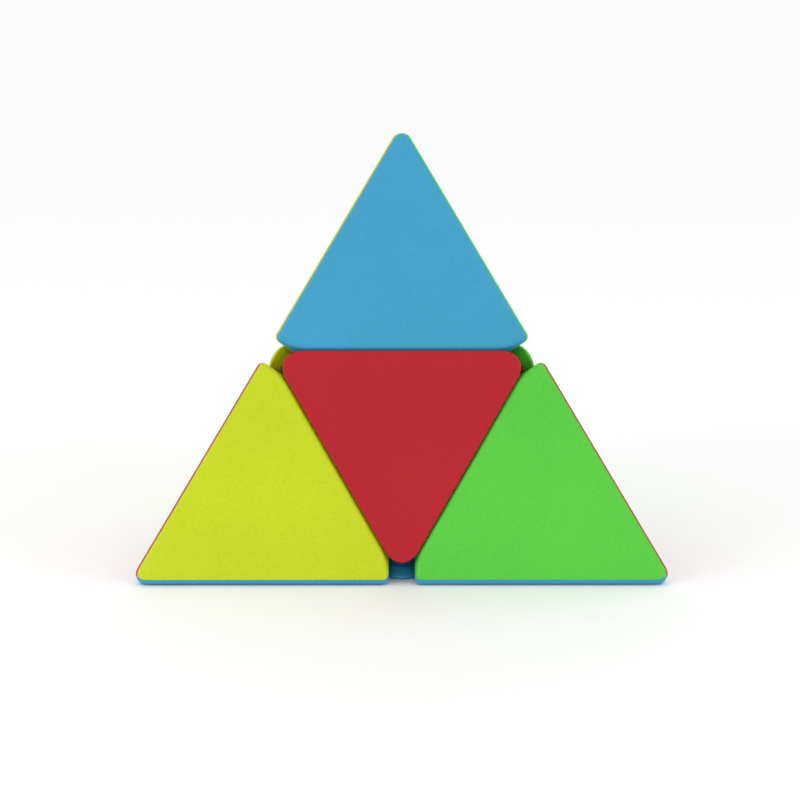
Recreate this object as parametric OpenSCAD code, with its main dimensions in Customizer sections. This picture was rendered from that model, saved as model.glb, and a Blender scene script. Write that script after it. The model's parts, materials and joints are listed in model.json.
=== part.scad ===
// Pyramid twisty puzzle, a tetrahedron of four corner pieces and four face centres.
// Half of the puzzle turns about each of three axes, which pass through the middles of opposite
// edges and cross at right angles in the middle. It stands on its base face. Millimetres.
// The front face looks along -Y, the apex points along +Z, and the origin lies on the base plane
// under the apex.

/* [Overall] */
// Length of a tetrahedron edge, measured between the sharp corners before they are eased
edge_length = 98; // [94:1:130]
// How far the long outer edges are cut back from their sharp line
edge_ease = 0.8; // [0.3:0.1:1.5]
// How far each vertex is cut back from its sharp point
vertex_ease = 3; // [2:0.1:5]

/* [Outer pieces] */
// Gap between two neighbouring pieces along a cut
cut_gap = 0.3; // [0.2:0.05:0.5]
// Wall thickness of the coloured caps on a corner piece
cap_wall = 1.8; // [1.2:0.1:2.2]
// Radius of a corner piece along the axes it turns about
corner_round = 5; // [3:0.1:6]
// Radius of a face centre along the axes it turns about
centre_round = 4.3; // [3:0.1:6]
// Easing of the edges between a corner piece's face and its cut walls
corner_trim = 0.15; // [0.05:0.05:0.3]
// Easing of the thin edges of a face centre
centre_trim = 0.35; // [0.1:0.05:0.5]
// Thickness of the coloured cover of a face centre
cover_thickness = 1.8; // [1.5:0.1:2.4]
// How far a centre carrier stands back from the sides of its cover
carrier_step = 0.45; // [0.1:0.05:0.6]
// Wall thickness of a centre carrier
carrier_wall = 1.5; // [1:0.1:2]
// Depth of the lip under a cover
lip_depth = 1.4; // [0.8:0.1:2]
// Thickness of the lip under a cover
lip_wall = 1; // [0.6:0.1:1.4]
// Gap between a cover's lip and the carrier wall around it
lip_gap = 0.1; // [0.05:0.05:0.2]

/* [Carriers] */
// Thickness of the curved floor of every carrier
floor_thickness = 1.4; // [1:0.1:1.6]
// Thickness of the three ribs inside a corner piece
rib_thickness = 1.6; // [1:0.1:2.5]
// Radius of the post inside a corner piece
post_radius = 2.6; // [1.5:0.1:4]

/* [Mechanism] */
// Depth of the ball that the inner pieces make together, under the middle of each face
face_depth = 4; // [3.7:0.1:4.5]
// Thickness of the outer shell of the ball
flange_thickness = 3.6; // [3.2:0.1:4]
// Thickness of the feet under the outer shell
foot_thickness = 3.5; // [3.2:0.1:4]
// Distance from the middle to the side of a middle slice in the outer shell
slice_half = 5.2; // [4.8:0.1:5.6]
// Distance from the middle to the side of a middle slice among the feet
foot_slice_half = 3.5; // [3.4:0.05:3.7]
// Gap between two moving inner pieces
slip_gap = 0.3; // [0.2:0.05:0.4]

/* [Core and fasteners] */
// Radius of the ball in the middle of the core
core_radius = 4.8; // [4.2:0.1:5.2]
// Radius of each of the six core arms
arm_radius = 3.2; // [2.8:0.1:3.3]
// Length of each core arm from the middle
arm_length = 6.5; // [6:0.1:6.8]
// Radius of the stem of an inner cap
stem_radius = 3.3; // [3.2:0.05:3.3]
// Radius of the spring bore in an inner cap
bore_radius = 2.45; // [2.4:0.05:2.6]
// Thickness of the wall that closes the spring bore
bore_floor = 1.3; // [1:0.1:1.6]
// Radius of a screw's shank
shank_radius = 1.25; // [1:0.05:1.4]
// Gap around the shank where it passes through an inner cap
shank_gap = 0.15; // [0.1:0.05:0.3]
// Distance from the middle to the tip of a screw
screw_tip = 2.6; // [2.2:0.1:3]
// Radius of a screw's head
head_radius = 2.2; // [2:0.05:2.3]
// Height of a screw's head
head_height = 1.6; // [1.2:0.1:2]
// Depth of the underside of a screw's head below the surface of the ball
head_depth = 3; // [2.6:0.1:3.4]
// Width of a slot of the cross in a screw's head
slot_width = 0.6; // [0.4:0.1:0.8]
// Depth of the cross in a screw's head
slot_depth = 0.9; // [0.6:0.1:1.2]
// Thickness of a washer
washer_thickness = 0.5; // [0.3:0.1:0.8]
// Radius of the spring wire
wire_radius = 0.3; // [0.2:0.05:0.35]
// Number of turns of a spring
spring_turns = 4; // [3:1:6]

/* [Hidden] */
$fn = 96;
inner_height = edge_length * sqrt(6) / 12;      // from a face to the middle
edge_reach = edge_length * sqrt(2) / 4;         // from the middle to the middle of an edge
vertex_reach = edge_length * sqrt(6) / 4;       // from the middle to a sharp vertex
span = edge_length * 2;                         // larger than the puzzle, for cutting solids
half_cut = cut_gap / 2;
half_slip = slip_gap / 2;
ball_radius = inner_height - face_depth;        // surface of the ball of inner pieces
flange_radius = ball_radius - flange_thickness; // where its outer shell ends and the feet begin
foot_radius = flange_radius - foot_thickness;   // inner radius of the feet
head_seat = ball_radius - head_depth;           // underside of a screw's head
seat_radius = ball_radius + half_slip;          // underside of every outer piece
floor_top = seat_radius + floor_thickness;      // top of every carrier's curved floor
stem_start = arm_length + half_slip;            // bottom of an inner cap's stem
bore_start = stem_start + bore_floor;           // bottom of its spring bore
washer_start = head_seat - washer_thickness;    // underside of a washer
spring_radius = bore_radius - half_slip - wire_radius;
spring_steps = 16;                              // rings in each turn of a spring
wire_sides = 6;                                 // corners of each ring
slot_length = head_radius * 4 / 3;              // length of each slot of the cross
face_slope = atan(sqrt(2));                     // stands the turning axes on the base face
cross_turns = [0, 90];
axes = [[1, 0, 0], [0, 1, 0], [0, 0, 1]];
blue = [0.2, 0.58, 0.78];
red = [0.72, 0.1, 0.16];
yellow = [0.8, 0.87, 0.1];
green = [0.3, 0.82, 0.25];
dark = [0.08, 0.08, 0.09];
steel = [0.6, 0.62, 0.65];
brass = [0.75, 0.6, 0.35];

// ---- Placing ----

// Stands the mechanism, whose turning axes are X, Y and Z, on the base face
module stand() {
    translate([0, 0, inner_height])
        rotate([0, 0, -90])
            rotate([0, -face_slope, 0])
                rotate([0, 0, -45])
                    children();
}

// Carries what is made along +X to the given turning axis
module along(axis) {
    if (axis == 0) children();
    if (axis == 1) rotate([90, 0, 90]) children();
    if (axis == 2) rotate([0, -90, -90]) children();
}

// Carries what is made along +X to the far side of the given turning axis
module against(axis) {
    mirror(axes[axis])
        along(axis)
            children();
}

// ---- Cutting solids ----

// Everything on the near side of a plane, which faces the given way at the given distance
module below(way, distance) {
    rotate([0, acos(way[2] / norm(way)), atan2(way[1], way[0])])
        translate([-span / 2, -span / 2, distance - span])
            cube(span);
}

// Everything above low along each axis, as three lower limits
module octant(low) {
    translate(low)
        cube(span);
}

// The plane that eases the edge between two planes by a depth
module eased(way_a, distance_a, way_b, distance_b, depth) {
    way = way_a / norm(way_a) + way_b / norm(way_b);
    below(way, (distance_a + distance_b) / norm(way) - depth);
}

// What is cut away to round the edge that a piece has along X
module axis_round(low, radius, inset) {
    translate([0, low, low])
        rotate([90, 0, 90])
            linear_extrude(height = span)
                difference() {
                    translate([-low, -low])
                        square(radius + low);
                    translate([radius, radius])
                        circle(r = radius - inset);
                }
}

// The same for all three axes
module all_rounds(low, radius, inset) {
    for (axis = [0, 1, 2]) {
        along(axis)
            axis_round(low, radius, inset);
    }
}

// ---- Corner pieces, made in the octant where X, Y and Z are positive ----

// The way that the face of a corner cap looks. The cap is named by its smallest coordinate.
function face_way(axis) = [1, 1, 1] - 2 * axes[axis];

// Outer form of a corner piece, or the space inside it at an inset
module corner_form(inset) {
    low = half_cut + inset;
    difference() {
        intersection() {
            translate([low, low, low])
                cube(edge_reach - edge_ease - low - inset);
            below([1, 1, 1], vertex_reach - vertex_ease - inset);
            intersection_for (axis = [0, 1, 2]) {
                below(face_way(axis), inner_height - inset);
            }
            intersection_for (axis = [0, 1, 2]) {
                eased(face_way(axis), inner_height - inset, -axes[axis], -low, corner_trim);
            }
        }
        all_rounds(half_cut, corner_round, inset);
    }
}

// A coloured cap: one face with the cut wall beside it. It is made on the face with the smallest Z,
// and a third of a turn about the way to the vertex brings it to the next face.
module corner_cap(axis) {
    rotate(a = 120 * (axis + 1), v = [1, 1, 1])
        difference() {
            intersection() {
                corner_form(0);
                below([-1, 0, 1], 0);
                below([0, -1, 1], 0);
            }
            corner_form(cap_wall);
            sphere(r = seat_radius);
        }
}

// Neck between the middle slices and foot under them, for an outer piece
module neck_and_foot() {
    neck_low = slice_half + half_slip;
    foot_low = foot_slice_half + half_slip;
    difference() {
        intersection() {
            octant([neck_low, neck_low, neck_low]);
            sphere(r = seat_radius + half_slip);
        }
        sphere(r = foot_radius + half_slip);
    }
    difference() {
        intersection() {
            octant([foot_low, foot_low, foot_low]);
            sphere(r = flange_radius - half_slip);
        }
        sphere(r = foot_radius);
    }
}

// Inner body of a corner piece: curved floor, ribs, post, neck and foot
module corner_carrier() {
    difference() {
        intersection() {
            corner_form(cap_wall);
            union() {
                sphere(r = floor_top);
                rotate([0, face_slope, 45])
                    cylinder(h = vertex_reach, r = post_radius);
                for (axis = [0, 1, 2]) {
                    along(axis)
                        rotate([45, 0, 0])
                            translate([0, 0, -rib_thickness / 2])
                                cube([vertex_reach, vertex_reach, rib_thickness]);
                }
            }
        }
        sphere(r = seat_radius);
    }
    neck_and_foot();
}

// ---- Face centres, made in the same octant ----

// Outer form of a face centre, or its form at an inset from the cut walls
module centre_form(inset, trim) {
    low = half_cut + inset;
    difference() {
        intersection() {
            octant([low, low, low]);
            below([1, 1, 1], inner_height);
            intersection_for (axis = [0, 1, 2]) {
                eased([1, 1, 1], inner_height, -axes[axis], -low, trim);
            }
        }
        all_rounds(half_cut, centre_round, inset);
    }
}

// Coloured cover with a lip that seats it in its carrier
module centre_cover() {
    split = inner_height - cover_thickness;
    lip_inset = carrier_step + carrier_wall + lip_gap;
    intersection() {
        centre_form(0, centre_trim);
        below([-1, -1, -1], -split);
    }
    difference() {
        intersection() {
            centre_form(lip_inset, 0);
            below([1, 1, 1], split);
            below([-1, -1, -1], lip_depth - split);
        }
        centre_form(lip_inset + lip_wall, 0);
        sphere(r = floor_top + lip_gap);
    }
}

// Inner body of a face centre: walls, curved floor, neck and foot
module centre_carrier() {
    split = inner_height - cover_thickness;
    difference() {
        intersection() {
            centre_form(carrier_step, 0);
            below([1, 1, 1], split);
        }
        sphere(r = seat_radius);
        difference() {
            centre_form(carrier_step + carrier_wall, 0);
            sphere(r = floor_top);
        }
    }
    intersection() {
        neck_and_foot();
        below([1, 1, 1], split);
    }
}

// ---- Inner pieces ----

// Shell between two radii
module shell(outer, inner) {
    difference() {
        sphere(r = outer);
        sphere(r = inner);
    }
}

// Inner edge piece, between the caps on +X and +Y
module inner_edge() {
    low = slice_half + half_slip;
    high = slice_half - half_slip;
    foot_low = foot_slice_half + half_slip;
    foot_high = foot_slice_half - half_slip;
    intersection() {
        shell(ball_radius - half_slip, flange_radius + half_slip);
        translate([low, low, -high])
            cube([span, span, 2 * high]);
    }
    intersection() {
        shell(ball_radius - half_slip, foot_radius);
        translate([low, low, -foot_high])
            cube([span, span, 2 * foot_high]);
    }
    intersection() {
        shell(flange_radius - half_slip, foot_radius);
        translate([foot_low, foot_low, -foot_high])
            cube([span, span, 2 * foot_high]);
    }
}

// Inner cap on +X: square flange with a round stem, bored for the spring and screw
module inner_cap() {
    high = slice_half - half_slip;
    difference() {
        union() {
            intersection() {
                shell(ball_radius - half_slip, flange_radius + half_slip);
                translate([0, -high, -high])
                    cube([span, 2 * high, 2 * high]);
            }
            translate([stem_start, 0, 0])
                rotate([0, 90, 0])
                    cylinder(h = flange_radius + 2 * half_slip - stem_start, r = stem_radius);
        }
        translate([bore_start, 0, 0])
            rotate([0, 90, 0])
                cylinder(h = span, r = bore_radius);
        rotate([0, 90, 0])
            cylinder(h = span, r = shank_radius + shank_gap);
    }
}

// Screw on +X, with a cross in its head
module screw() {
    rotate([0, 90, 0])
        difference() {
            union() {
                translate([0, 0, screw_tip])
                    cylinder(h = head_seat - screw_tip + head_height / 2, r = shank_radius);
                translate([0, 0, head_seat])
                    cylinder(h = head_height, r = head_radius);
            }
            for (turn = cross_turns) {
                rotate([0, 0, turn])
                    translate([-slot_length / 2, -slot_width / 2, head_seat + head_height - slot_depth])
                        cube([slot_length, slot_width, head_height]);
            }
        }
}

// Washer on +X, under the screw's head
module washer() {
    translate([washer_start, 0, 0])
        rotate([0, 90, 0])
            difference() {
                cylinder(h = washer_thickness, r = head_radius);
                translate([0, 0, -washer_thickness])
                    cylinder(h = 3 * washer_thickness, r = shank_radius);
            }
}

// Spring on +X, as one swept wire
module spring() {
    low = bore_start + wire_radius;
    pitch = (washer_start - low - wire_radius) / spring_turns;
    rings = spring_turns * spring_steps;
    points = [
        for (i = [0:rings])
            for (j = [0:wire_sides - 1])
                let (
                    turn = 360 * i / spring_steps,
                    around = 360 * j / wire_sides,
                    out = spring_radius + wire_radius * cos(around)
                )
                [low + pitch * i / spring_steps + wire_radius * sin(around), out * cos(turn), out * sin(turn)]
    ];
    sides = [
        for (i = [0:rings - 1])
            for (j = [0:wire_sides - 1])
                [
                    i * wire_sides + j,
                    i * wire_sides + (j + 1) % wire_sides,
                    (i + 1) * wire_sides + (j + 1) % wire_sides,
                    (i + 1) * wire_sides + j
                ]
    ];
    first_end = [for (j = [0:wire_sides - 1]) wire_sides - 1 - j];
    last_end = [for (j = [0:wire_sides - 1]) rings * wire_sides + j];
    polyhedron(points = points, faces = concat(sides, [first_end, last_end]));
}

// One of each on all six sides
module on_six_sides() {
    for (axis = [0, 1, 2]) {
        along(axis)
            children();
        against(axis)
            children();
    }
}

// ---- Sub-parts ----

module core() {
    color(dark)
        stand()
            difference() {
                union() {
                    sphere(r = core_radius);
                    on_six_sides()
                        rotate([0, 90, 0])
                            cylinder(h = arm_length, r = arm_radius);
                }
                on_six_sides()
                    translate([screw_tip, 0, 0])
                        rotate([0, 90, 0])
                            cylinder(h = arm_length, r = shank_radius);
            }
}

module arm_screws() {
    color(steel)
        stand()
            on_six_sides()
                screw();
}

module screw_washers() {
    color(brass)
        stand()
            on_six_sides()
                washer();
}

module tension_springs() {
    color(steel)
        stand()
            on_six_sides()
                spring();
}

module inner_cap_upper_left() {
    color(dark)
        stand()
            along(0)
                inner_cap();
}

module inner_cap_upper_right() {
    color(dark)
        stand()
            along(1)
                inner_cap();
}

module inner_cap_upper_back() {
    color(dark)
        stand()
            along(2)
                inner_cap();
}

module inner_cap_lower_right() {
    color(dark)
        stand()
            against(0)
                inner_cap();
}

module inner_cap_lower_left() {
    color(dark)
        stand()
            against(1)
                inner_cap();
}

module inner_cap_lower_front() {
    color(dark)
        stand()
            against(2)
                inner_cap();
}

module inner_edge_upper_front() {
    color(dark)
        stand()
            inner_edge();
}

module inner_edge_upper_left() {
    color(dark)
        stand()
            rotate([90, 0, 0])
                inner_edge();
}

module inner_edge_upper_right() {
    color(dark)
        stand()
            rotate([0, -90, 0])
                inner_edge();
}

module inner_edge_lower_back() {
    color(dark)
        stand()
            rotate([0, 0, 180])
                inner_edge();
}

module inner_edge_lower_right() {
    color(dark)
        stand()
            rotate([0, 90, 90])
                inner_edge();
}

module inner_edge_lower_left() {
    color(dark)
        stand()
            rotate([0, 90, 180])
                inner_edge();
}

module inner_edge_middle_left() {
    color(dark)
        stand()
            rotate([0, 0, -90])
                inner_edge();
}

module inner_edge_middle_right() {
    color(dark)
        stand()
            rotate([0, 0, 90])
                inner_edge();
}

module inner_edge_middle_front_left() {
    color(dark)
        stand()
            rotate([-90, 0, 0])
                inner_edge();
}

module inner_edge_middle_front_right() {
    color(dark)
        stand()
            rotate([0, 90, 0])
                inner_edge();
}

module inner_edge_middle_back_right() {
    color(dark)
        stand()
            rotate([0, -90, 90])
                inner_edge();
}

module inner_edge_middle_back_left() {
    color(dark)
        stand()
            rotate([0, -90, 180])
                inner_edge();
}

module top_corner_front_cap() {
    color(blue)
        stand()
            corner_cap(2);
}

module top_corner_left_cap() {
    color(yellow)
        stand()
            corner_cap(1);
}

module top_corner_right_cap() {
    color(green)
        stand()
            corner_cap(0);
}

module top_corner_carrier() {
    color(dark)
        stand()
            corner_carrier();
}

module left_corner_front_cap() {
    color(yellow)
        stand()
            rotate([180, 0, 0])
                corner_cap(1);
}

module left_corner_side_cap() {
    color(red)
        stand()
            rotate([180, 0, 0])
                corner_cap(2);
}

module left_corner_base_cap() {
    color(blue)
        stand()
            rotate([180, 0, 0])
                corner_cap(0);
}

module left_corner_carrier() {
    color(dark)
        stand()
            rotate([180, 0, 0])
                corner_carrier();
}

module right_corner_front_cap() {
    color(green)
        stand()
            rotate([0, 180, 0])
                corner_cap(0);
}

module right_corner_side_cap() {
    color(red)
        stand()
            rotate([0, 180, 0])
                corner_cap(2);
}

module right_corner_base_cap() {
    color(blue)
        stand()
            rotate([0, 180, 0])
                corner_cap(1);
}

module right_corner_carrier() {
    color(dark)
        stand()
            rotate([0, 180, 0])
                corner_carrier();
}

module back_corner_left_cap() {
    color(yellow)
        stand()
            rotate([0, 0, 180])
                corner_cap(0);
}

module back_corner_right_cap() {
    color(green)
        stand()
            rotate([0, 0, 180])
                corner_cap(1);
}

module back_corner_base_cap() {
    color(red)
        stand()
            rotate([0, 0, 180])
                corner_cap(2);
}

module back_corner_carrier() {
    color(dark)
        stand()
            rotate([0, 0, 180])
                corner_carrier();
}

module front_centre_cover() {
    color(red)
        stand()
            mirror([0, 0, 1])
                centre_cover();
}

module front_centre_carrier() {
    color(red)
        stand()
            mirror([0, 0, 1])
                centre_carrier();
}

module left_centre_cover() {
    color(yellow)
        stand()
            mirror([0, 1, 0])
                centre_cover();
}

module left_centre_carrier() {
    color(yellow)
        stand()
            mirror([0, 1, 0])
                centre_carrier();
}

module right_centre_cover() {
    color(green)
        stand()
            mirror([1, 0, 0])
                centre_cover();
}

module right_centre_carrier() {
    color(green)
        stand()
            mirror([1, 0, 0])
                centre_carrier();
}

module base_centre_cover() {
    color(blue)
        stand()
            rotate([180, 0, 0])
                mirror([1, 0, 0])
                    centre_cover();
}

module base_centre_carrier() {
    color(blue)
        stand()
            rotate([180, 0, 0])
                mirror([1, 0, 0])
                    centre_carrier();
}

// ---- What is drawn ----

core();
arm_screws();
screw_washers();
tension_springs();
inner_cap_upper_left();
inner_cap_upper_right();
inner_cap_upper_back();
inner_cap_lower_right();
inner_cap_lower_left();
inner_cap_lower_front();
inner_edge_upper_front();
inner_edge_upper_left();
inner_edge_upper_right();
inner_edge_lower_back();
inner_edge_lower_right();
inner_edge_lower_left();
inner_edge_middle_left();
inner_edge_middle_right();
inner_edge_middle_front_left();
inner_edge_middle_front_right();
inner_edge_middle_back_right();
inner_edge_middle_back_left();
top_corner_front_cap();
top_corner_left_cap();
top_corner_right_cap();
top_corner_carrier();
left_corner_front_cap();
left_corner_side_cap();
left_corner_base_cap();
left_corner_carrier();
right_corner_front_cap();
right_corner_side_cap();
right_corner_base_cap();
right_corner_carrier();
back_corner_left_cap();
back_corner_right_cap();
back_corner_base_cap();
back_corner_carrier();
front_centre_cover();
front_centre_carrier();
left_centre_cover();
left_centre_carrier();
right_centre_cover();
right_centre_carrier();
base_centre_cover();
base_centre_carrier();
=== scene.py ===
import json
import math
import bpy
from mathutils import Matrix, Vector


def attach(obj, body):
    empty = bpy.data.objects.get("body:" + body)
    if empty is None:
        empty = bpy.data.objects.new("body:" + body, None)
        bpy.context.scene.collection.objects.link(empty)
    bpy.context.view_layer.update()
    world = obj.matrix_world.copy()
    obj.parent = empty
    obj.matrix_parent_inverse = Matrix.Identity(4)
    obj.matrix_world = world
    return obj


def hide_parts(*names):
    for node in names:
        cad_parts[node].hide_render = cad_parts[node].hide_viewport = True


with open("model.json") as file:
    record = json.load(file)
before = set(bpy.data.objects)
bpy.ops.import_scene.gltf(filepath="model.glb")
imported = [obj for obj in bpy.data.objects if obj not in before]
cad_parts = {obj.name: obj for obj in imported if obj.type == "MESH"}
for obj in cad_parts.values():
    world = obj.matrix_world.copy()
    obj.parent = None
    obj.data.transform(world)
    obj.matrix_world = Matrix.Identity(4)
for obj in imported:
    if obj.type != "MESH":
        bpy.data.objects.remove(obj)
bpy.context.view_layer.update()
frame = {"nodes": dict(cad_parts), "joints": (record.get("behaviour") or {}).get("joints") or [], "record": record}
print("frame loaded,", len(frame["nodes"]), "parts")

# ---- shared measures, in millimetres, worked out from the frame ----

millimetre = 0.001
innerHeight = frame["joints"][0]["pos_m"][2] / millimetre  # from a face to the middle
edgeReach = innerHeight * math.sqrt(3)  # from the middle to the middle of an edge
halfCut = 0.15  # half the gap between two pieces
edgeRadius = 1.1  # rounding of the long outer edges
edgeEase = 0.81  # how much the rounding takes off the sharp edge
edgeDistance = edgeReach - edgeEase  # from the middle to the outermost line of a rounded edge
vertexRadius = 2.3  # rounding of the four points

axisWays = [Vector((1, 0, 0)), Vector((0, 1, 0)), Vector((0, 0, 1))]
diagonal = Vector((1, 1, 1)).normalized()

# turns the three crossing axes so that the puzzle stands on its base face
standUp = (
    Matrix.Translation((0, 0, innerHeight))
    @ Matrix.Rotation(math.radians(-90), 4, "Z")
    @ Matrix.Rotation(-math.atan(math.sqrt(2)), 4, "Y")
    @ Matrix.Rotation(math.radians(-45), 4, "Z")
)


def faceWay(axis):
    # the direction that a corner cap faces; its axis is the one whose cut wall it meets
    way = Vector((1, 1, 1))
    way[axis] = -1
    return way.normalized()


# ---- modelling by planes, as with the bisect tool ----

bench = {
    "blockShare": 1.1,  # size of a starting block as a share of the reach to an edge
    "onPlane": 0.00001,  # points this near to a cutting plane count as on it
    "mergeDistance": 0.0005,  # points this near to each other become one
    "smoothAngle": 20,  # degrees between two faces that are still shaded as one
    "ballSegments": 96,
    "ballRings": 64,
}


def startBlock(name, low):
    # a block from a near limit, the same on all three axes, to past the furthest edge
    bpy.ops.object.select_all(action="DESELECT")
    high = edgeReach * bench["blockShare"]
    middle = (low + high) / 2
    bpy.ops.mesh.primitive_cube_add(size=high - low, location=(middle, middle, middle))
    block = bpy.context.object
    block.name = name
    bpy.ops.object.transform_apply(location=True, rotation=True, scale=True)
    return block


def cutByPlanes(piece, planes):
    # keeps what lies behind every plane and closes each cut
    bpy.ops.object.select_all(action="DESELECT")
    bpy.context.view_layer.objects.active = piece
    piece.select_set(True)
    bpy.ops.object.mode_set(mode="EDIT")
    for way, distance in planes:
        bpy.ops.mesh.select_all(action="SELECT")
        bpy.ops.mesh.bisect(
            plane_co=way * distance,
            plane_no=way,
            use_fill=True,
            clear_outer=True,
            threshold=bench["onPlane"],
        )
    bpy.ops.mesh.select_all(action="SELECT")
    bpy.ops.mesh.remove_doubles(threshold=bench["mergeDistance"])
    bpy.ops.mesh.normals_make_consistent(inside=False)
    bpy.ops.object.mode_set(mode="OBJECT")


def blend(wayA, wayB, share):
    # a direction part of the way round from one to the other
    angle = wayA.angle(wayB)
    mixed = wayA * math.sin((1 - share) * angle) + wayB * math.sin(share * angle)
    return mixed.normalized()


def easedEdge(planeA, planeB, radius, steps):
    # the planes that round the edge between two planes
    wayA, distanceA = planeA
    wayB, distanceB = planeB
    cosine = wayA.dot(wayB)
    # the middle line of the rounding, as a mix of the two directions
    a = ((distanceA - radius) - (distanceB - radius) * cosine) / (1 - cosine**2)
    b = ((distanceB - radius) - (distanceA - radius) * cosine) / (1 - cosine**2)
    middle = wayA * a + wayB * b
    planes = []
    for step in range(1, steps):
        way = blend(wayA, wayB, step / steps)
        planes.append((way, way.dot(middle) + radius))
    return planes


def axisRound(axis, radius, steps, inset=0.0):
    # the planes that round a piece along one of the turning axes
    side = axisWays[(axis + 1) % 3]
    other = axisWays[(axis + 2) % 3]
    centre = (side + other) * (halfCut + radius)
    planes = []
    for step in range(1, steps):
        turn = math.radians(90) * step / steps
        way = -side * math.cos(turn) - other * math.sin(turn)
        planes.append((way, way.dot(centre) + radius - inset))
    return planes


def wallPlane(axis):
    # the flat cut wall square to a turning axis
    return (-axisWays[axis], -halfCut)


# ---- joining, copying and placing ----


def activate(piece):
    bpy.ops.object.select_all(action="DESELECT")
    bpy.context.view_layer.objects.active = piece
    piece.select_set(True)


def copyPiece(piece, name):
    twin = piece.copy()
    twin.data = piece.data.copy()
    twin.name = name
    bpy.context.scene.collection.objects.link(twin)
    return twin


def subtract(piece, cutter):
    activate(piece)
    carve = piece.modifiers.new("carve", "BOOLEAN")
    carve.operation = "DIFFERENCE"
    carve.solver = "EXACT"
    carve.object = cutter
    bpy.ops.object.modifier_apply(modifier=carve.name)


def discard(piece):
    bpy.data.objects.remove(piece, do_unlink=True)


def place(piece, turn):
    # from the millimetre bench to its place in the frame
    mirrored = turn.determinant() < 0
    piece.data.transform(Matrix.Scale(millimetre, 4) @ standUp @ turn)
    if mirrored:
        piece.data.flip_normals()
    piece.data.update()


def smoothByAngle(piece):
    activate(piece)
    bpy.ops.object.shade_smooth_by_angle(angle=math.radians(bench["smoothAngle"]))


# ---- materials ----

plasticLook = {
    "roughness": 0.42,
    "roughnessSpread": 0.08,
    "grainScale": 2600,  # per metre, so about 0.4 mm from grain to grain
    "grainDepth": 0.00008,
    "grainShare": 0.55,  # of the grain in the variation of shade, the rest is slower
    "paintedGlintLift": 0.004,  # painted glint: the tops of the grain are painted a little whiter, in place of the sparkle of light on them
    "shadeSpread": 0.06,
    "scatter": 0.15,  # light that enters the plastic and comes out again nearby
    "scatterDepth": 0.0012,
}

# what all the moulded plastics share
mouldLook = {
    "cloudScale": 45,  # slow variation of shade over a face
    "cloudDetail": 3,
    "grainDetail": 2,
    "rampStart": 0.35,  # the part of the pattern's values that the shades spread over
    "rampEnd": 0.65,
    "bumpStrength": 0.5,
    "specular": 0.3,
}

faceColours = {
    "blue": (0.035, 0.294, 0.488),
    "red": (0.409, 0.000, 0.009),
    "yellow": (0.496, 0.595, 0.001),
    "green": (0.080, 0.518, 0.037),
}


def startMaterial(name):
    material = bpy.data.materials.new(name)
    material.use_nodes = True
    shader = material.node_tree.nodes["Principled BSDF"]
    return material, material.node_tree.nodes, material.node_tree.links, shader


def mouldedPlastic(name, colour, look):
    material, nodes, links, shader = startMaterial(name)
    place3d = nodes.new("ShaderNodeTexCoord")
    clouds = nodes.new("ShaderNodeTexNoise")
    clouds.inputs["Scale"].default_value = mouldLook["cloudScale"]
    clouds.inputs["Detail"].default_value = mouldLook["cloudDetail"]
    links.new(place3d.outputs["Object"], clouds.inputs["Vector"])
    grain = nodes.new("ShaderNodeTexNoise")  # the spark-eroded grain of the mould
    grain.inputs["Scale"].default_value = look["grainScale"]
    grain.inputs["Detail"].default_value = mouldLook["grainDetail"]
    links.new(place3d.outputs["Object"], grain.inputs["Vector"])
    both = nodes.new("ShaderNodeMix")
    both.inputs["Factor"].default_value = look["grainShare"]
    links.new(clouds.outputs["Fac"], both.inputs["A"])
    links.new(grain.outputs["Fac"], both.inputs["B"])
    shade = nodes.new("ShaderNodeValToRGB")
    low = [c * (1 - look["shadeSpread"]) for c in colour] + [1]
    # the lighter end of the shades also carries the painted glint on the grain tops
    high = [c * (1 + look["shadeSpread"]) + look["paintedGlintLift"] for c in colour] + [1]
    shade.color_ramp.elements[0].position = mouldLook["rampStart"]
    shade.color_ramp.elements[0].color = low
    shade.color_ramp.elements[1].position = mouldLook["rampEnd"]
    shade.color_ramp.elements[1].color = high
    links.new(both.outputs["Result"], shade.inputs["Fac"])
    links.new(shade.outputs["Color"], shader.inputs["Base Color"])
    gloss = nodes.new("ShaderNodeMapRange")
    gloss.inputs["To Min"].default_value = look["roughness"] - look["roughnessSpread"]
    gloss.inputs["To Max"].default_value = look["roughness"] + look["roughnessSpread"]
    links.new(grain.outputs["Fac"], gloss.inputs["Value"])
    links.new(gloss.outputs["Result"], shader.inputs["Roughness"])
    bump = nodes.new("ShaderNodeBump")
    bump.inputs["Strength"].default_value = mouldLook["bumpStrength"]
    bump.inputs["Distance"].default_value = look["grainDepth"]
    links.new(grain.outputs["Fac"], bump.inputs["Height"])
    links.new(bump.outputs["Normal"], shader.inputs["Normal"])
    shader.inputs["Specular IOR Level"].default_value = mouldLook["specular"]
    shader.inputs["Subsurface Weight"].default_value = look["scatter"]
    shader.inputs["Subsurface Scale"].default_value = look["scatterDepth"]
    shader.inputs["Subsurface Radius"].default_value = (1, 1, 1)
    return material


darkLook = {
    "colour": (0.018, 0.018, 0.020),
    "roughness": 0.38,
    "roughnessSpread": 0.06,
    "grainScale": 1800,
    "grainDepth": 0.000006,
    "grainShare": 0.5,
    # painted glint on the grain tops, as for the coloured plastics
    "paintedGlintLift": 0.002,
    "shadeSpread": 0.1,
    "scatter": 0,
    "scatterDepth": 0.001,
}

# fine scuffs from tumbling, on the screws, springs and washers
metalLook = {
    "scuffScale": 900,
    "scuffDetail": 4,
    "smoother": 0.08,  # how far the roughness goes below its own value
    "rougher": 0.12,  # and above it
}

metals = {
    "zinc_steel": {"name": "zincSteel", "colour": (0.55, 0.56, 0.58), "roughness": 0.3},
    "brass_washer": {"name": "brassWasher", "colour": (0.62, 0.42, 0.16), "roughness": 0.35},
}


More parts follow.
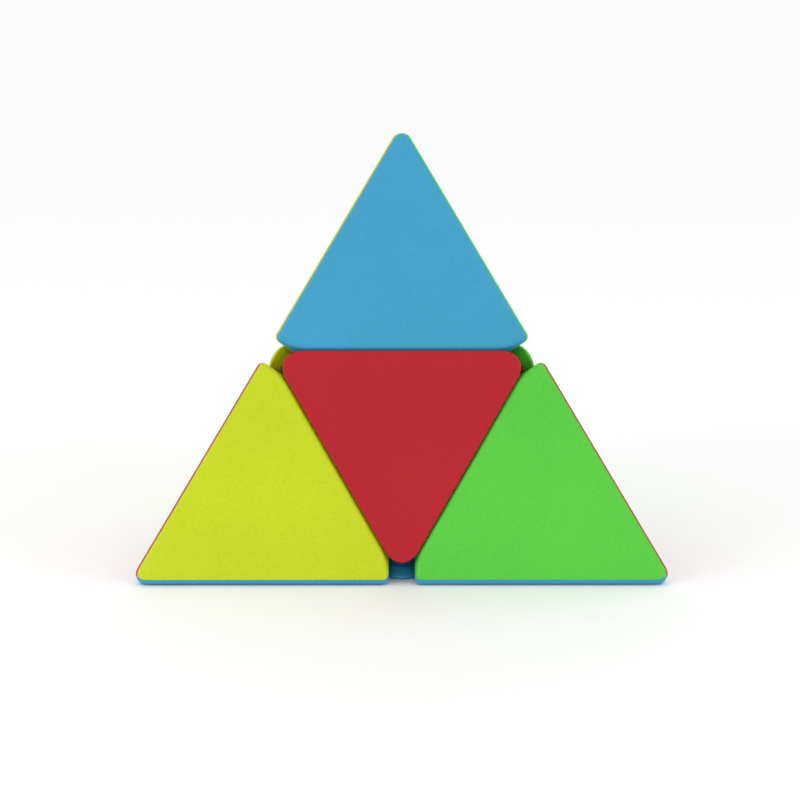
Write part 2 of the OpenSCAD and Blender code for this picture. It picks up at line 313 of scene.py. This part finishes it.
def platedMetal(name, colour, roughness):
    material, nodes, links, shader = startMaterial(name)
    place3d = nodes.new("ShaderNodeTexCoord")
    scuffs = nodes.new("ShaderNodeTexNoise")
    scuffs.inputs["Scale"].default_value = metalLook["scuffScale"]
    scuffs.inputs["Detail"].default_value = metalLook["scuffDetail"]
    links.new(place3d.outputs["Object"], scuffs.inputs["Vector"])
    gloss = nodes.new("ShaderNodeMapRange")
    gloss.inputs["To Min"].default_value = roughness - metalLook["smoother"]
    gloss.inputs["To Max"].default_value = roughness + metalLook["rougher"]
    links.new(scuffs.outputs["Fac"], gloss.inputs["Value"])
    links.new(gloss.outputs["Result"], shader.inputs["Roughness"])
    shader.inputs["Base Color"].default_value = (*colour, 1)
    shader.inputs["Metallic"].default_value = 1
    return material


materials = {
    name + "_plastic": mouldedPlastic(name + "Plastic", colour, plasticLook)
    for name, colour in faceColours.items()
}
materials["dark_plastic"] = mouldedPlastic("darkPlastic", darkLook["colour"], darkLook)
for slot, metal in metals.items():
    materials[slot] = platedMetal(metal["name"], metal["colour"], metal["roughness"])

partSlots = {part["node"]: part["material_slot"] for part in frame["record"]["subparts"]}
for node, slot in partSlots.items():
    mesh = frame["nodes"][node].data
    mesh.materials.clear()
    mesh.materials.append(materials[slot])
print("materials made")


def finishPiece(piece, node, body, turn):
    # puts a piece in place of its CAD part
    place(piece, turn)
    piece.name = node + "_shell"
    piece.data.name = piece.name
    piece.data.materials.clear()
    piece.data.materials.append(materials[partSlots[node]])
    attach(piece, body)
    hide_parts(node)


# ---- corner pieces ----

cornerShape = {
    "axisRadius": 5.0,  # along the turning axes
    "axisSteps": 12,
    "edgeSteps": 10,
    "vertexSteps": 6,
    "rimRadius": 1.1,  # around each face, where it meets the cut walls
    "rimSteps": 6,
    "wall": 1.8,
    "ballRadius": 16.15,  # hollow for the inner pieces
    "seamGap": 0.02,
}


def cornerPlanes(shape):
    faces = [(faceWay(axis), innerHeight) for axis in range(3)]
    planes = list(faces)
    for axis in range(3):
        rounds = axisRound(axis, shape["axisRadius"], shape["axisSteps"])
        planes += rounds
        # the two faces that meet in the long edge across this turning axis
        firstFace = faces[(axis + 1) % 3]
        lastFace = faces[(axis + 2) % 3]
        edge = easedEdge(firstFace, lastFace, edgeRadius, shape["edgeSteps"])
        planes += edge
        # rims, where the faces and the long edge meet the rounding along the axis
        middle = len(rounds) // 2
        rims = [(firstFace, rounded) for rounded in rounds[: middle + 1]]
        rims += [(lastFace, rounded) for rounded in rounds[middle:]]
        for outer in edge:
            rims += [(outer, rounded) for rounded in rounds[middle - 1 : middle + 2]]
        rims.append((faces[axis], wallPlane(axis)))
        for outer, side in rims:
            planes += easedEdge(outer, side, shape["rimRadius"], shape["rimSteps"])
    return planes + vertexPlanes(shape)


def vertexPlanes(shape):
    # the planes that round the point between the three long edges and ease it into the faces
    centre = diagonal * (edgeDistance - vertexRadius) * math.sqrt(3)
    count = shape["vertexSteps"]
    planes = []
    for i in range(count):
        for j in range(count + 1 - i):
            shares = (i, j, count - i - j)
            if max(shares) == count:
                continue
            way = Vector(shares).normalized()
            rounded = (way, way.dot(centre) + vertexRadius)
            planes.append(rounded)
            for axis in range(3):
                if shares[axis] == 0:
                    face = (faceWay(axis), innerHeight)
                    planes += easedEdge(face, rounded, edgeRadius, shape["rimSteps"])
    return planes


def makeCornerShell(shape):
    shell = startBlock("cornerShell", halfCut)
    cutByPlanes(shell, cornerPlanes(shape))
    wall = shape["wall"]
    hollow = startBlock("cornerHollow", halfCut + wall)
    inside = [(faceWay(axis), innerHeight - wall) for axis in range(3)]
    tip = (edgeDistance - vertexRadius) * math.sqrt(3) + vertexRadius
    inside.append((diagonal, tip - wall))
    for axis in range(3):
        inside += axisRound(axis, shape["axisRadius"], shape["axisSteps"], wall)
        inside.append((axisWays[axis], edgeDistance - wall))
    cutByPlanes(hollow, inside)
    subtract(shell, hollow)
    discard(hollow)
    bpy.ops.object.select_all(action="DESELECT")
    bpy.ops.mesh.primitive_uv_sphere_add(
        segments=bench["ballSegments"],
        ring_count=bench["ballRings"],
        radius=shape["ballRadius"],
    )
    ball = bpy.context.object
    subtract(shell, ball)
    discard(ball)
    return shell


def cutCap(shell, axis, reaches, shape):
    # one cap of three: the part of the shell nearest to its own cut wall
    cap = copyPiece(shell, "cap")
    seams = []
    for step in (1, 2):
        rival = (axis + step) % 3
        way = (axisWays[axis] - axisWays[rival]).normalized()
        offMiddle = (reaches[axis] - reaches[rival]) / math.sqrt(2)
        seams.append((way, offMiddle - shape["seamGap"]))
    cutByPlanes(cap, seams)
    return cap


# how far each cap reaches round the long edges it shares, so that the seams lie off the middle
seamReach = {
    "front_cap": 0.0,
    "left_cap": 0.35,
    "right_cap": 0.35,
    "side_cap": 0.3,
    "base_cap": 0.84,
}

# where each corner goes, and which cap meets the cut wall of each turning axis
corners = {
    "top_corner": {
        "turn": Matrix.Identity(4),
        "caps": {2: "front_cap", 1: "left_cap", 0: "right_cap"},
    },
    "left_corner": {
        "turn": Matrix.Rotation(math.pi, 4, "X"),
        "caps": {1: "front_cap", 2: "side_cap", 0: "base_cap"},
    },
    "right_corner": {
        "turn": Matrix.Rotation(math.pi, 4, "Y"),
        "caps": {0: "front_cap", 2: "side_cap", 1: "base_cap"},
    },
    "back_corner": {
        "turn": Matrix.Rotation(math.pi, 4, "Z"),
        "caps": {0: "left_cap", 1: "right_cap", 2: "base_cap"},
    },
}

cornerShell = makeCornerShell(cornerShape)
for body, corner in corners.items():
    for axis, capName in corner["caps"].items():
        reaches = [seamReach[corner["caps"][i]] for i in range(3)]
        cap = cutCap(cornerShell, axis, reaches, cornerShape)
        smoothByAngle(cap)
        finishPiece(cap, body + "_" + capName, body, corner["turn"])
discard(cornerShell)
print("corner caps made")

# ---- face centres ----

centreShape = {
    "axisRadius": 4.3,  # along the turning axes
    "axisSteps": 10,
    "thickness": 1.8,
    "rimRadius": 0.35,  # around the outer face
    "rimSteps": 4,
    "underRadius": 0.45,  # around the inner face, at the seam with the carrier
    "underSteps": 5,
}


def makeCentreCover(shape):
    cover = startBlock("centreCover", halfCut)
    face = (diagonal, innerHeight)
    under = (-diagonal, shape["thickness"] - innerHeight)
    walls = [wallPlane(axis) for axis in range(3)]
    for axis in range(3):
        walls += axisRound(axis, shape["axisRadius"], shape["axisSteps"])
    planes = [face, under] + walls
    for wall in walls:
        planes += easedEdge(face, wall, shape["rimRadius"], shape["rimSteps"])
        planes += easedEdge(under, wall, shape["underRadius"], shape["underSteps"])
    cutByPlanes(cover, planes)
    return cover


# the body that each centre turns with, and where it goes
centres = {
    "front_centre": ("front_centre", Matrix.Diagonal((1, 1, -1, 1))),
    "left_centre": ("left_centre", Matrix.Diagonal((1, -1, 1, 1))),
    "right_centre": ("right_centre", Matrix.Diagonal((-1, 1, 1, 1))),
    "base_centre": ("frame", Matrix.Diagonal((-1, -1, -1, 1))),
}

centreCover = makeCentreCover(centreShape)
for centreName, (body, turn) in centres.items():
    cover = copyPiece(centreCover, centreName)
    smoothByAngle(cover)
    finishPiece(cover, centreName + "_cover", body, turn)
discard(centreCover)
print("centre covers made")

# ---- room, lights and camera ----

room = {
    "floorSize": 60.0,
    "floorDrop": 0.0001,  # below the base, so that the two never share a plane
    "floorColour": (0.95, 0.95, 0.95),
    "floorRoughness": 0.7,
    "worldLight": 1.0,
}

bpy.ops.object.select_all(action="DESELECT")
bpy.ops.mesh.primitive_plane_add(size=room["floorSize"], location=(0, 0, -room["floorDrop"]))
floor = bpy.context.object
floor.name = "floor"
floorMaterial, _, _, floorShader = startMaterial("paleFloor")
floorShader.inputs["Base Color"].default_value = (*room["floorColour"], 1)
floorShader.inputs["Roughness"].default_value = room["floorRoughness"]
floor.data.materials.append(floorMaterial)

world = bpy.data.worlds.new("softRoom")
bpy.context.scene.world = world
world.use_nodes = True
background = world.node_tree.nodes["Background"]
background.inputs["Color"].default_value = (1, 1, 1, 1)
background.inputs["Strength"].default_value = room["worldLight"]

# two large soft boxes that look at the middle of the puzzle; sizes in metres, power in watts
lightAim = Vector((0, 0, 0.03))
lights = {
    "keyLight": {"position": (-0.75, -0.55, 0.3), "size": 0.3, "power": 1.8},
    "sideLight": {"position": (0.8, -0.5, 0.3), "size": 0.3, "power": 1.2},
}


def softBox(name, position, size, power):
    light = bpy.data.lights.new(name, "AREA")
    light.shape = "RECTANGLE"
    light.size = size
    light.size_y = size
    light.energy = power
    lamp = bpy.data.objects.new(name, light)
    lamp.location = position
    aim = lightAim - Vector(position)
    lamp.rotation_euler = aim.to_track_quat("-Z", "Y").to_euler()
    bpy.context.scene.collection.objects.link(lamp)


for lightName, light in lights.items():
    softBox(lightName, light["position"], light["size"], light["power"])

cameraPlace = {
    "azimuth": 0,  # degrees to the right of straight ahead
    "elevation": 12.0,
    "distance": 0.36,
    "target": (-0.0003, 0, 0.02745),
    "focal": 2.409,  # focal length as a share of the sensor's width
    "sensorWidth": 36,
    "roll": -0.03,
}

camera = bpy.data.objects.new("camera", bpy.data.cameras.new("camera"))
camera.data.sensor_width = cameraPlace["sensorWidth"]
camera.data.lens = cameraPlace["focal"] * camera.data.sensor_width
azimuth = math.radians(cameraPlace["azimuth"])
elevation = math.radians(cameraPlace["elevation"])
offset = Vector(
    (
        math.sin(azimuth) * math.cos(elevation),
        -math.cos(azimuth) * math.cos(elevation),
        math.sin(elevation),
    )
)
camera.location = Vector(cameraPlace["target"]) + offset * cameraPlace["distance"]
look = (-offset).to_track_quat("-Z", "Y").to_matrix().to_4x4()
roll = Matrix.Rotation(math.radians(cameraPlace["roll"]), 4, "Z")
camera.rotation_euler = (look @ roll).to_euler()
bpy.context.scene.collection.objects.link(camera)
bpy.context.scene.camera = camera
bpy.context.scene.view_settings.view_transform = "Standard"
print("room and camera ready")
